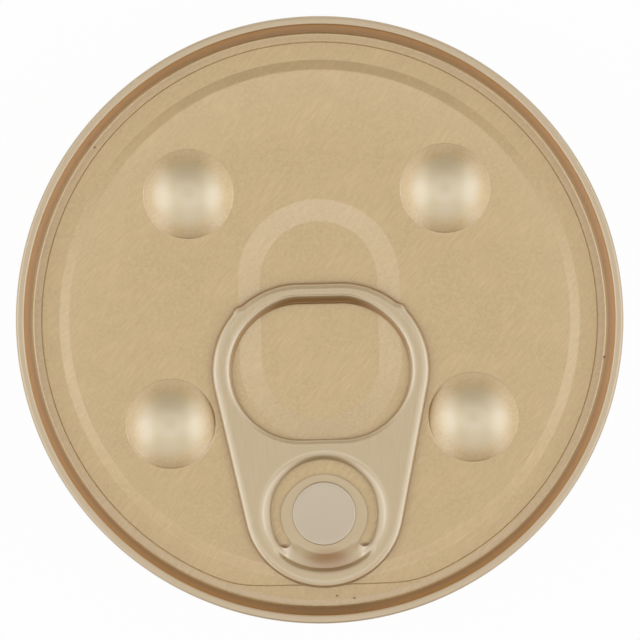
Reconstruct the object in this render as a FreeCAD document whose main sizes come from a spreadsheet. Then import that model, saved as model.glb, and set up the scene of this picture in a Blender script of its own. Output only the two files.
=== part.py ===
import FreeCAD, Part
import math
import os
import Sketcher

# A sealed drawn food can with a full-opening end and a riveted ring tab.
# Millimetres, +Z up, origin at the centre of the foot ring.  -Y is the tab's nose, +Y its ring.

# ---------------------------------------------------------------- driving dimensions

DIMENSIONS = {
    # can body
    "can_height": 36.5,
    "seam_radius": 34.15,
    "seam_height": 2.9,
    "seam_crown": 0.46,
    "seam_curl": 0.3,
    "body_sheet": 0.16,
    "heel_rise": 2.6,
    "heel_round": 1.6,
    "foot_inset": 2.07,
    "foot_width": 0.9,
    "foot_round": 0.8,
    "foot_flank": 0.9,
    "foot_flank_round": 0.4,
    "base_recess": 1.3,
    "base_round": 0.5,
    "base_ring_radius": 20.0,
    "base_ring_width": 4.6,
    "base_ring_height": 0.45,
    "base_disc_radius": 11.0,
    # can end
    "end_sheet": 0.21,
    "panel_depth": 3.75,
    "chuck_lean": 0.8,
    "groove_width": 0.8,
    "groove_depth": 0.4,
    "groove_round": 0.15,
    "bead_inset": 4.25,
    "bead_width": 1.2,
    "bead_step": 0.15,
    "bead_round": 0.4,
    "panel_slope_width": 2.25,
    "panel_slope_rise": 0.18,
    "score_inset": 1.13,
    "score_flat": 1.47,
    "score_width": 0.18,
    "score_depth": 0.07,
    # stiffening domes
    "dome_radius": 5.06,
    "dome_height": 1.2,
    "dome_circle": 20.45,
    "dome_angle_ring": 45.0,
    "dome_angle_nose": 56.4,
    # finger well
    "well_radius": 9.1,
    "well_straight": 4.5,
    "well_slope": 2.5,
    "well_depth": 0.55,
    # rivet
    "rivet_y": 21.8,
    "rivet_stem": 2.0,
    "rivet_fit": 0.05,
    "rivet_head": 3.52,
    "rivet_head_height": 0.32,
    "rivet_head_round": 0.12,
    # ring tab
    "tab_sheet": 0.4,
    "tab_height": 1.2,
    "tab_gap": 0.25,
    "ring_y": 5.62,
    "ring_straight": 2.35,
    "ring_radius": 9.95,
    "rim_width": 2.15,
    "rim_round": 0.55,
    "rim_under_round": 0.45,
    "nose_y": 21.08,
    "nose_radius": 9.07,
    "island_gap": 0.1,
    "island_radius": 4.85,
    "tongue_inset": 0.25,
    "tongue_lean": 15.0,
    "slot_radius": 6.1,
    "slot_angle": 125.5,
    "dish_wall": 0.55,
    "dish_round": 0.9,
    "dish_foot_round": 0.35,
    "dish_lap": 0.55,
    "web_corner_x": 6.2,
    "web_corner_y": 16.6,
    "web_corner_round": 1.0,
}

document = FreeCAD.newDocument("food_can")
dims = document.addObject("Spreadsheet::Sheet", "dims")
for row, (alias, number) in enumerate(DIMENSIONS.items(), start=1):
    dims.set("A%d" % row, alias)
    dims.set("B%d" % row, str(number))
    dims.setAlias("B%d" % row, alias)
document.recompute()

# Heights and radii that several pieces share, as expressions on the sheet.
PANEL_TOP = "(dims.can_height - dims.panel_depth)"
OUTER_PANEL_TOP = "(%s - dims.bead_step)" % PANEL_TOP
GROOVE_BOTTOM = "(%s - dims.groove_depth)" % OUTER_PANEL_TOP
SEAM_BOTTOM = "(dims.can_height - dims.seam_height)"
WALL_RADIUS = "(dims.seam_radius - 2 * dims.end_sheet - dims.body_sheet)"
CHUCK_TOP_RADIUS = "(%s - dims.body_sheet - dims.end_sheet)" % WALL_RADIUS
CHUCK_FOOT_RADIUS = "(%s - dims.chuck_lean)" % CHUCK_TOP_RADIUS
SCORE_RADIUS = "(%s - dims.score_inset)" % CHUCK_FOOT_RADIUS
SCORE_CHORD = "(%s - dims.score_flat)" % SCORE_RADIUS
BEAD_RADIUS = "(%s - dims.bead_inset)" % CHUCK_FOOT_RADIUS
SLOPE_RADIUS = "(%s - dims.panel_slope_width)" % BEAD_RADIUS
FOOT_RADIUS = "(%s - dims.foot_inset)" % WALL_RADIUS
ISLAND_LOW = "(%s + dims.island_gap)" % PANEL_TOP
ISLAND_TOP = "(%s + dims.tab_sheet)" % ISLAND_LOW
RIM_BOTTOM = "(%s + dims.tab_gap)" % PANEL_TOP
TAB_TOP = "(%s + dims.tab_height)" % RIM_BOTTOM
HOLE_RADIUS = "(dims.ring_radius - dims.rim_width)"
DISH_RADIUS = "(dims.slot_radius + dims.dish_wall)"


def value(expression):
    """The number that an expression on the sheet gives."""
    return float(dims.evalExpression(expression))


# ---------------------------------------------------------------- sketches

def new_body(name):
    body = document.addObject("PartDesign::Body", name)
    body.Label = name
    return body


def origin_feature(body, role):
    for feature in body.Origin.OriginFeatures:
        if feature.Role == role:
            return feature
    raise ValueError("no origin feature " + role)


def new_sketch(body, name, role, height="0"):
    """A sketch on one of the body's own origin planes, raised along the plane's normal."""
    sketch = body.newObject("Sketcher::SketchObject", name)
    sketch.AttachmentSupport = [(origin_feature(body, role), "")]
    sketch.MapMode = "FlatFace"
    if height != "0":
        sketch.setExpression(".AttachmentOffset.Base.z", height)
    return sketch


def pin_coordinate(sketch, kind, geometry, point, expression):
    """Hold one coordinate of a point at what the expression gives."""
    place = value(expression)
    axis = {"DistanceX": -2, "DistanceY": -1}[kind]
    if abs(place) < 1e-9:
        sketch.addConstraint(Sketcher.Constraint("PointOnObject", geometry, point, axis))
        return
    index = sketch.addConstraint(Sketcher.Constraint(kind, -1, 1, geometry, point, place))
    sketch.setExpression("Constraints[%d]" % index, expression)


def pin_point(sketch, geometry, point, x_expression, y_expression):
    pin_coordinate(sketch, "DistanceX", geometry, point, x_expression)
    pin_coordinate(sketch, "DistanceY", geometry, point, y_expression)


def pin_radius(sketch, geometry, expression):
    index = sketch.addConstraint(Sketcher.Constraint("Radius", geometry, value(expression)))
    sketch.setExpression("Constraints[%d]" % index, expression)


def end_near(sketch, geometry, place):
    """1 or 2: which end of a line or an arc lies at the place."""
    to_start = sketch.getPoint(geometry, 1).distanceToPoint(place)
    to_end = sketch.getPoint(geometry, 2).distanceToPoint(place)
    return 1 if to_start < to_end else 2


def join_tangent(sketch, first, second, place):
    sketch.addConstraint(Sketcher.Constraint(
        "Tangent", first, end_near(sketch, first, place), second, end_near(sketch, second, place)))


def rounded_outline(sketch, corners):
    """A closed outline of straight runs.  Each corner is (x, y, radius), as expressions; a
    corner whose radius is "" stays sharp, and the others get a tangent arc."""
    places = [FreeCAD.Vector(value(x), value(y), 0) for x, y, radius in corners]
    count = len(corners)
    arrive = []
    leave = []
    for index, (x, y, radius) in enumerate(corners):
        here = places[index]
        back = (places[index - 1] - here).normalize()
        ahead = (places[(index + 1) % count] - here).normalize()
        reach = 0.0
        if radius:
            half_angle = back.getAngle(ahead) / 2
            reach = value(radius) / math.tan(half_angle)
        arrive.append(here + back * reach)
        leave.append(here + ahead * reach)
    lines = []
    for index in range(count):
        run = Part.LineSegment(leave[index], arrive[(index + 1) % count])
        lines.append(sketch.addGeometry(run, False))
    for index, (x, y, radius) in enumerate(corners):
        before = lines[index - 1]
        after = lines[index]
        if not radius:
            sketch.addConstraint(Sketcher.Constraint("Coincident", before, 2, after, 1))
            pin_point(sketch, after, 1, x, y)
            continue
        inward = (arrive[index] + leave[index]) * 0.5 - places[index]
        bisector = FreeCAD.Vector(inward).normalize()
        to_centre = math.hypot(value(radius), (arrive[index] - places[index]).Length)
        crown = places[index] + bisector * (to_centre - value(radius))
        arc = sketch.addGeometry(Part.Arc(arrive[index], crown, leave[index]), False)
        join_tangent(sketch, before, arc, arrive[index])
        join_tangent(sketch, arc, after, leave[index])
        pin_radius(sketch, arc, radius)
        corner = sketch.addGeometry(Part.Point(places[index]), True)
        sketch.addConstraint(Sketcher.Constraint("PointOnObject", corner, 1, before))
        sketch.addConstraint(Sketcher.Constraint("PointOnObject", corner, 1, after))
        pin_point(sketch, corner, 1, x, y)


def belt_outline(sketch, circles):
    """The line that a tight belt takes round circles given anticlockwise as (x, y, radius)."""
    centres = [FreeCAD.Vector(value(x), value(y), 0) for x, y, radius in circles]
    radii = [value(radius) for x, y, radius in circles]
    count = len(circles)
    starts = [None] * count
    ends = [None] * count
    for index in range(count):
        following = (index + 1) % count
        span = centres[following] - centres[index]
        heading = math.atan2(span.y, span.x)
        lean = math.acos((radii[index] - radii[following]) / span.Length)
        outward = FreeCAD.Vector(math.cos(heading - lean), math.sin(heading - lean), 0)
        ends[index] = centres[index] + outward * radii[index]
        starts[following] = centres[following] + outward * radii[following]
    arcs = []
    for index, (x, y, radius) in enumerate(circles):
        start_angle = math.atan2(starts[index].y - centres[index].y, starts[index].x - centres[index].x)
        end_angle = math.atan2(ends[index].y - centres[index].y, ends[index].x - centres[index].x)
        circle = Part.Circle(centres[index], FreeCAD.Vector(0, 0, 1), radii[index])
        arc = sketch.addGeometry(Part.ArcOfCircle(circle, start_angle, end_angle), False)
        pin_point(sketch, arc, 3, x, y)
        pin_radius(sketch, arc, radius)
        arcs.append(arc)
    for index in range(count):
        following = (index + 1) % count
        line = sketch.addGeometry(Part.LineSegment(ends[index], starts[following]), False)
        join_tangent(sketch, arcs[index], line, ends[index])
        join_tangent(sketch, line, arcs[following], starts[following])


def full_circle(sketch, x, y, radius):
    centre = FreeCAD.Vector(value(x), value(y), 0)
    geometry = sketch.addGeometry(Part.Circle(centre, FreeCAD.Vector(0, 0, 1), value(radius)), False)
    pin_point(sketch, geometry, 3, x, y)
    pin_radius(sketch, geometry, radius)


# ---------------------------------------------------------------- features

def revolve(body, name, sketch, kind="PartDesign::Revolution"):
    feature = body.newObject(kind, name)
    feature.Profile = sketch
    feature.ReferenceAxis = (sketch, ["V_Axis"])
    feature.Angle = 360
    document.recompute()
    return feature


def pad(body, name, sketch, length):
    feature = body.newObject("PartDesign::Pad", name)
    feature.Profile = sketch
    feature.setExpression("Length", length)
    document.recompute()
    return feature


def pocket(body, name, sketch, length, upwards=True):
    """Cut along +Z from the sketch's plane, or along -Z."""
    before = body.Shape.Volume
    feature = body.newObject("PartDesign::Pocket", name)
    feature.Profile = sketch
    feature.Reversed = upwards
    feature.setExpression("Length", length)
    document.recompute()
    if body.Shape.Volume > before - 1e-4:
        raise ValueError(name + " removes nothing")
    return feature


def fillet_at(body, name, radius, wanted):
    """Round the edges of the body's last feature for which wanted(edge) holds."""
    base = body.Tip
    edges = ["Edge%d" % (number + 1) for number, edge in enumerate(base.Shape.Edges) if wanted(edge)]
    feature = body.newObject("PartDesign::Fillet", name)
    feature.Base = (base, edges)
    feature.setExpression("Radius", radius)
    document.recompute()
    return feature


def lies_level(edge, height):
    box = edge.BoundBox
    return abs(box.ZMin - height) < 1e-4 and abs(box.ZMax - height) < 1e-4


# ---------------------------------------------------------------- forms that end and contents share

def dome_places():
    """The four domes' centres: two beside the ring, two beside the nose."""
    for side in (1, -1):
        ring_side = "dims.dome_angle_ring * 1deg"
        nose_side = "dims.dome_angle_nose * 1deg"
        yield ("%d * dims.dome_circle * sin(%s)" % (side, ring_side), "dims.dome_circle * cos(%s)" % ring_side)
        yield ("%d * dims.dome_circle * sin(%s)" % (side, nose_side), "-dims.dome_circle * cos(%s)" % nose_side)


def press_domes(body, kind, label, skin_drop, base_drop):
    """Spherical caps on the panel.  skin_drop is how far the cap's skin lies inside the dome's
    outside, and base_drop how far its flat base lies below the panel."""
    sphere = "(dims.dome_radius ^ 2 + dims.dome_height ^ 2) / (2 * dims.dome_height)"
    centre_height = "%s + dims.dome_height - %s" % (PANEL_TOP, sphere)
    for index, (x, y) in enumerate(dome_places(), start=1):
        cap = body.newObject(kind, "%s_%d" % (label, index))
        cap.AttachmentSupport = [(origin_feature(body, "XY_Plane"), "")]
        cap.MapMode = "FlatFace"
        cap.setExpression("Radius", "%s - %s" % (sphere, skin_drop))
        cap.setExpression(".AttachmentOffset.Base.x", x)
        cap.setExpression(".AttachmentOffset.Base.y", y)
        cap.setExpression(".AttachmentOffset.Base.z", centre_height)
        base_above_centre = "(%s - dims.dome_height - %s)" % (sphere, base_drop)
        cap.setExpression("Angle1", "asin(%s / (%s - %s))" % (base_above_centre, sphere, skin_drop))
        cap.Angle2 = 90
        document.recompute()


def well_circles(inset):
    return [
        ("0", "-dims.well_straight", "dims.well_radius - %s" % inset),
        ("0", "dims.well_straight", "dims.well_radius - %s" % inset),
    ]


def press_well(body, kind, label, top, bottom, swell):
    """The finger well as a loft from its mouth to its floor; swell widens both by that much."""
    mouth = new_sketch(body, label + "_mouth", "XY_Plane", top)
    belt_outline(mouth, well_circles("(-%s)" % swell))
    floor = new_sketch(body, label + "_floor", "XY_Plane", bottom)
    belt_outline(floor, well_circles("(dims.well_slope - %s)" % swell))
    loft = body.newObject(kind, label)
    loft.Profile = mouth
    loft.Sections = [floor]
    loft.Ruled = True
    document.recompute()


# ---------------------------------------------------------------- can_body

def base_profile():
    """The drawn base from the axis out to the wall: disc, expansion ring, foot and heel."""
    recess = "dims.base_recess"
    ring_top = "(dims.base_recess + dims.base_ring_height)"
    ring_inner = "(dims.base_ring_radius - dims.base_ring_width / 2)"
    ring_outer = "(dims.base_ring_radius + dims.base_ring_width / 2)"
    foot_inner = "(%s - dims.foot_width)" % FOOT_RADIUS
    step = "dims.base_ring_height"
    bend = "dims.base_round"
    return [
        ("0", ring_top, ""),
        ("dims.base_disc_radius", ring_top, bend),
        ("dims.base_disc_radius + " + step, recess, bend),
        (ring_inner, recess, bend),
        (ring_inner + " + " + step, ring_top, bend),
        (ring_outer + " - " + step, ring_top, bend),
        (ring_outer, recess, bend),
        (foot_inner + " - dims.foot_flank", recess, bend),
        (foot_inner, "0", "dims.foot_flank_round"),
        (FOOT_RADIUS, "0", "dims.foot_round"),
        (WALL_RADIUS, "dims.heel_rise", "dims.heel_round"),
    ]


def make_can_body():
    body = new_body("can_body")
    chuck_outer_top = WALL_RADIUS + " - dims.body_sheet"
    under = "dims.end_sheet"
    corners = base_profile()
    corners += [
        (WALL_RADIUS, SEAM_BOTTOM, ""),
        (chuck_outer_top, SEAM_BOTTOM, ""),
        (CHUCK_FOOT_RADIUS + " + " + under, GROOVE_BOTTOM, ""),
        (CHUCK_FOOT_RADIUS, "%s - %s" % (GROOVE_BOTTOM, under), ""),
        (CHUCK_FOOT_RADIUS + " - dims.groove_width / 2", "%s - %s" % (GROOVE_BOTTOM, under), ""),
        (CHUCK_FOOT_RADIUS + " - dims.groove_width - " + under, "%s - %s" % (OUTER_PANEL_TOP, under), ""),
        (BEAD_RADIUS + " + dims.bead_width", "%s - %s" % (OUTER_PANEL_TOP, under), ""),
        (BEAD_RADIUS, "%s - %s + dims.panel_slope_rise" % (PANEL_TOP, under), ""),
        (SLOPE_RADIUS, "%s - %s" % (PANEL_TOP, under), ""),
        ("0", "%s - %s" % (PANEL_TOP, under), ""),
    ]
    profile = new_sketch(body, "body_profile", "XZ_Plane")
    rounded_outline(profile, corners)
    revolve(body, "drawn_body", profile)
    press_domes(body, "PartDesign::AdditiveSphere", "dome_fill", "dims.end_sheet", "2 * dims.end_sheet")
    panel_under = "%s - dims.end_sheet" % PANEL_TOP
    press_well(body, "PartDesign::SubtractiveLoft", "well_relief", panel_under,
               panel_under + " - dims.well_depth", "0")
    return body


# ---------------------------------------------------------------- can_end

def end_profile():
    """Section of the formed end: panel, bead, groove, chuck wall and the rolled seam."""
    under = "dims.end_sheet"
    crown = "dims.seam_crown"
    chuck_outer_top = WALL_RADIUS + " - dims.body_sheet"
    groove_low = "%s - %s" % (GROOVE_BOTTOM, under)
    panel_low = "%s - %s" % (PANEL_TOP, under)
    outer_low = "%s - %s" % (OUTER_PANEL_TOP, under)
    return [
        ("0", PANEL_TOP, ""),
        (SLOPE_RADIUS, PANEL_TOP, ""),
        (BEAD_RADIUS, PANEL_TOP + " + dims.panel_slope_rise", "dims.bead_round"),
        (BEAD_RADIUS + " + dims.bead_width", OUTER_PANEL_TOP, "dims.bead_round"),
        (CHUCK_FOOT_RADIUS + " - dims.groove_width", OUTER_PANEL_TOP, "dims.groove_round"),
        (CHUCK_FOOT_RADIUS + " - dims.groove_width / 2", GROOVE_BOTTOM, "dims.groove_round"),
        (CHUCK_FOOT_RADIUS, GROOVE_BOTTOM, "dims.groove_round"),
        (CHUCK_TOP_RADIUS, "dims.can_height", crown),
        ("dims.seam_radius", "dims.can_height", crown),
        ("dims.seam_radius", SEAM_BOTTOM, "dims.seam_curl"),
        (WALL_RADIUS, SEAM_BOTTOM, ""),
        (chuck_outer_top, SEAM_BOTTOM, ""),
        (CHUCK_FOOT_RADIUS + " + " + under, GROOVE_BOTTOM, ""),
        (CHUCK_FOOT_RADIUS, groove_low, ""),
        (CHUCK_FOOT_RADIUS + " - dims.groove_width / 2", groove_low, ""),
        (CHUCK_FOOT_RADIUS + " - dims.groove_width - " + under, outer_low, ""),
        (BEAD_RADIUS + " + dims.bead_width", outer_low, ""),
        (BEAD_RADIUS, panel_low + " + dims.panel_slope_rise", ""),
        (SLOPE_RADIUS, panel_low, ""),
        ("0", panel_low, ""),
    ]


def score_loop(sketch, radius, chord):
    """A circle cut short by a straight run on the nose side."""
    reach = value(radius)
    drop = value(chord)
    half = math.sqrt(reach ** 2 - drop ** 2)
    right = FreeCAD.Vector(half, -drop, 0)
    left = FreeCAD.Vector(-half, -drop, 0)
    circle = Part.Circle(FreeCAD.Vector(0, 0, 0), FreeCAD.Vector(0, 0, 1), reach)
    start = math.atan2(right.y, right.x)
    finish = math.atan2(left.y, left.x) + 2 * math.pi
    arc = sketch.addGeometry(Part.ArcOfCircle(circle, start, finish), False)
    line = sketch.addGeometry(Part.LineSegment(left, right), False)
    sketch.addConstraint(Sketcher.Constraint("Coincident", arc, 3, -1, 1))
    sketch.addConstraint(Sketcher.Constraint("Coincident", arc, 1, line, 2))
    sketch.addConstraint(Sketcher.Constraint("Coincident", arc, 2, line, 1))
    sketch.addConstraint(Sketcher.Constraint("Horizontal", line))
    pin_radius(sketch, arc, radius)
    pin_coordinate(sketch, "DistanceY", line, 1, "-(%s)" % chord)


def score_panel(body):
    """The weakened line along which the panel tears out."""
    half = "dims.score_width / 2"
    sketch = new_sketch(body, "score_outline", "XY_Plane", OUTER_PANEL_TOP)
    score_loop(sketch, "%s + %s" % (SCORE_RADIUS, half), "%s + %s" % (SCORE_CHORD, half))
    score_loop(sketch, "%s - %s" % (SCORE_RADIUS, half), "%s - %s" % (SCORE_CHORD, half))
    pocket(body, "score", sketch, "dims.score_depth", upwards=False)


def form_rivet(body):
    """The button drawn up from the panel, headed over the tab's island."""
    y_place = "-dims.rivet_y"
    stem_sketch = new_sketch(body, "rivet_stem_outline", "XY_Plane", "%s - dims.end_sheet / 2" % PANEL_TOP)
    full_circle(stem_sketch, "0", y_place, "dims.rivet_stem")
    pad(body, "rivet_stem", stem_sketch, "dims.tab_sheet + dims.island_gap + dims.end_sheet")
    head_sketch = new_sketch(body, "rivet_head_outline", "XY_Plane", ISLAND_TOP)
    full_circle(head_sketch, "0", y_place, "dims.rivet_head")
    pad(body, "rivet_head", head_sketch, "dims.rivet_head_height")
    head_top = value("%s + dims.rivet_head_height" % ISLAND_TOP)
    fillet_at(body, "rivet_head_edge", "dims.rivet_head_round", lambda edge: lies_level(edge, head_top))


def make_can_end():
    body = new_body("can_end")
    profile = new_sketch(body, "end_profile", "XZ_Plane")
    rounded_outline(profile, end_profile())
    revolve(body, "formed_end", profile)
    press_domes(body, "PartDesign::AdditiveSphere", "dome", "0", "dims.end_sheet / 2")
    press_domes(body, "PartDesign::SubtractiveSphere", "dome_hollow", "dims.end_sheet", "2 * dims.end_sheet")
    panel_under = "%s - dims.end_sheet" % PANEL_TOP
    press_well(body, "PartDesign::AdditiveLoft", "well_pan", panel_under,
               panel_under + " - dims.well_depth", "0")
    press_well(body, "PartDesign::SubtractiveLoft", "well", PANEL_TOP,
               PANEL_TOP + " - dims.well_depth", "0")
    score_panel(body)
    form_rivet(body)
    return body


# ---------------------------------------------------------------- ring_tab

def tab_outline(inset):
    """Circles whose belt is the tab: the ring's two rounded ends, then the nose."""
    ring = "dims.ring_radius - " + inset
    return [
        ("-dims.ring_straight", "-dims.ring_y", ring),
        ("0", "-dims.nose_y", "dims.nose_radius - " + inset),
        ("dims.ring_straight", "-dims.ring_y", ring),
    ]


def ring_hole():
    return [
        ("-dims.ring_straight", "-dims.ring_y", HOLE_RADIUS),
        ("dims.ring_straight", "-dims.ring_y", HOLE_RADIUS),
    ]


def web_hollow():
    """The open underside of the web, inside the curled rims."""
    return [
        ("-dims.web_corner_x", "-dims.web_corner_y", "dims.web_corner_round"),
        ("0", "-dims.nose_y", "dims.nose_radius - dims.rim_width"),
        ("dims.web_corner_x", "-dims.web_corner_y", "dims.web_corner_round"),
    ]


def under_corner(radius, top, lean_in, lean_out):
    """The sheet's lower corner below an upper one, where its upper side turns from one lean
    to another, so that the sheet is as thick on both sides of the corner."""
    mean = "((%s + %s) / 2)" % (lean_in, lean_out)
    half_turn = "((%s - %s) / 2)" % (lean_out, lean_in)
    return ("%s + dims.tab_sheet * sin(%s) / cos(%s)" % (radius, mean, half_turn),
            "%s - dims.tab_sheet * cos(%s) / cos(%s)" % (top, mean, half_turn))


def dish_profile():
    """Section of the drawn dish from the rivet hole out to the web, about the rivet's axis:
    the level island, the leaning tongue that the slot leaves on the nose side, and the wall."""
    hole = "dims.rivet_stem + dims.rivet_fit"
    tongue_start = "(dims.island_radius - dims.tongue_inset)"
    foot = "dims.slot_radius"
    crest = DISH_RADIUS
    edge = DISH_RADIUS + " + dims.dish_lap"
    tongue_lean = "(dims.tongue_lean * 1deg)"
    foot_top = "(%s + (%s - %s) * tan%s)" % (ISLAND_TOP, foot, tongue_start, tongue_lean)
    wall_lean = "atan((%s - %s) / (%s - %s))" % (TAB_TOP, foot_top, crest, foot)
    inner_bend = "dims.dish_foot_round"
    outer_bend = "dims.dish_foot_round + dims.tab_sheet"
    return [
        (hole, ISLAND_LOW, ""),
        under_corner(tongue_start, ISLAND_TOP, "0deg", tongue_lean) + (outer_bend,),
        under_corner(foot, foot_top, tongue_lean, wall_lean) + (outer_bend,),
        under_corner(crest, TAB_TOP, wall_lean, "0deg") + ("dims.dish_round - dims.tab_sheet",),
        (edge, "%s - dims.tab_sheet" % TAB_TOP, ""),
        (edge, TAB_TOP, ""),
        (crest, TAB_TOP, "dims.dish_round"),
        (foot, foot_top, inner_bend),
        (tongue_start, ISLAND_TOP, inner_bend),
        (hole, ISLAND_TOP, ""),
    ]


def arc_slot(sketch):
    """The C-shaped slot that frees the island, open towards the nose, with round ends."""
    middle = "(dims.slot_radius + dims.island_radius) / 2"
    cap = value("(dims.slot_radius - dims.island_radius) / 2")
    centre = FreeCAD.Vector(0, -value("dims.rivet_y"), 0)
    up = FreeCAD.Vector(0, 0, 1)
    swing = math.radians(value("dims.slot_angle"))
    first = math.pi / 2 - swing
    last = math.pi / 2 + swing
    outer = sketch.addGeometry(Part.ArcOfCircle(
        Part.Circle(centre, up, value("dims.slot_radius")), first, last), False)
    inner = sketch.addGeometry(Part.ArcOfCircle(
        Part.Circle(centre, up, value("dims.island_radius")), first, last), False)
    for arc in (outer, inner):
        pin_point(sketch, arc, 3, "0", "-dims.rivet_y")
    pin_radius(sketch, outer, "dims.slot_radius")
    pin_radius(sketch, inner, "dims.island_radius")
    for side, angle in ((-1, first), (1, last)):
        spoke = FreeCAD.Vector(math.cos(angle), math.sin(angle), 0)
        cap_centre = centre + spoke * value(middle)
        start_angle = angle + math.pi if side < 0 else angle
        circle = Part.Circle(cap_centre, up, cap)
        end_cap = sketch.addGeometry(Part.ArcOfCircle(circle, start_angle, start_angle + math.pi), False)
        join_tangent(sketch, outer, end_cap, centre + spoke * value("dims.slot_radius"))
        join_tangent(sketch, inner, end_cap, centre + spoke * value("dims.island_radius"))
        pin_coordinate(sketch, "DistanceX", end_cap, 3,
                       "%d * %s * sin(dims.slot_angle * 1deg)" % (-side, middle))


def make_ring_tab():
    body = new_body("ring_tab")
    blank = new_sketch(body, "tab_outline", "XY_Plane", RIM_BOTTOM)
    belt_outline(blank, tab_outline("0"))
    pad(body, "tab_blank", blank, "dims.tab_height")
    top = value(TAB_TOP)
    bottom = value(RIM_BOTTOM)
    fillet_at(body, "rim_top", "dims.rim_round", lambda edge: lies_level(edge, top))
    fillet_at(body, "rim_under", "dims.rim_under_round", lambda edge: lies_level(edge, bottom))

    opening = new_sketch(body, "ring_hole_outline", "XY_Plane", RIM_BOTTOM)
    belt_outline(opening, ring_hole())
    pocket(body, "ring_hole", opening, "dims.tab_height")
    hole_reach = value("dims.ring_straight + %s" % HOLE_RADIUS) + 0.01

    def round_hole(height):
        return lambda edge: lies_level(edge, height) and max(abs(edge.BoundBox.XMin), edge.BoundBox.XMax) < hole_reach

    fillet_at(body, "ring_hole_top", "dims.rim_round", round_hole(top))
    fillet_at(body, "ring_hole_under", "dims.rim_under_round", round_hole(bottom))

    underside = new_sketch(body, "web_hollow_outline", "XY_Plane", RIM_BOTTOM)
    belt_outline(underside, web_hollow())
    pocket(body, "web_hollow", underside, "dims.tab_height - dims.tab_sheet")

    bore = new_sketch(body, "dish_bore_outline", "XY_Plane", RIM_BOTTOM)
    full_circle(bore, "0", "-dims.rivet_y", DISH_RADIUS)
    pocket(body, "dish_bore", bore, "dims.tab_height")
    section = new_sketch(body, "dish_profile", "XZ_Plane", "dims.rivet_y")
    rounded_outline(section, dish_profile())
    revolve(body, "dish", section)

    slot = new_sketch(body, "slot_outline", "XY_Plane", PANEL_TOP)
    arc_slot(slot)
    pocket(body, "slot", slot, "2 * dims.tab_height")
    return body


# ---------------------------------------------------------------- build, test and write

pieces = [make_can_body(), make_can_end(), make_ring_tab()]
document.recompute()

for item in document.Objects:
    if "Invalid" in item.State or "Error" in item.State:
        raise ValueError("%s failed: %s" % (item.Name, item.State))

os.makedirs("parts", exist_ok=True)
for piece in pieces:
    if piece.Shape.isNull() or not piece.Shape.isValid():
        raise ValueError(piece.Label + " is not a valid shape")
    if len(piece.Shape.Solids) != 1:
        raise ValueError("%s has %d solids" % (piece.Label, len(piece.Shape.Solids)))
    piece.Shape.exportStep("parts/%s.step" % piece.Label)
    box = piece.Shape.BoundBox
    print("%-9s volume %8.1f mm3  z %.2f to %.2f" % (piece.Label, piece.Shape.Volume, box.ZMin, box.ZMax))
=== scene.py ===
import math

import bpy
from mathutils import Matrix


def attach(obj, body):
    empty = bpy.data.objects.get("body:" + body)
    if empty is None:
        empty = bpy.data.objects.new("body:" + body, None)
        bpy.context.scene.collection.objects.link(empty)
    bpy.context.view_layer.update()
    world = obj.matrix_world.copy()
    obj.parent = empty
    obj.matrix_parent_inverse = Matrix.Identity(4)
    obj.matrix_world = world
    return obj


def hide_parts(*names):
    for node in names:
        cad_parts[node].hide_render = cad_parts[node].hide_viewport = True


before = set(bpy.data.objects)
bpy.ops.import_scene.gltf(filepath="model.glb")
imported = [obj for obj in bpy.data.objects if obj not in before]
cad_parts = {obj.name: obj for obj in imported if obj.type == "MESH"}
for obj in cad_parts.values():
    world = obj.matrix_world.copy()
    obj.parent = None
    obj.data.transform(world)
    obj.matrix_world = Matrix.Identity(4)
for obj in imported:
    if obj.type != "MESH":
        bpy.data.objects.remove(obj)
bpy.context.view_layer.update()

# ------------------------------------------------------------------ can_shell
# The body is drawn from one disc of tinplate and lacquered gold inside and out.
# It is one smooth wall, a round heel, a narrow foot ring and a recessed base with
# pressed expansion rings, and it is shut, so it is closed and solid inside.

mm = 0.001
round_points = 256           # points round the body and the lid
panel_top = 32.75            # flat middle of the end, above the foot
wall_radius = 33.57
seam_bottom = 33.6
heel_rise = 2.6
foot_outer, foot_inner, foot_flank = 31.5, 30.6, 0.9
base_recess, ring_step, ring_round = 1.3, 0.45, 0.5
base_middle = 11.0           # the middle of the base stands this far out, a step higher
base_ring_inner, base_ring_outer = 17.7, 22.3
inner_wall, fill_top = 33.0, 31.9    # the part closed in by the lid


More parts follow.
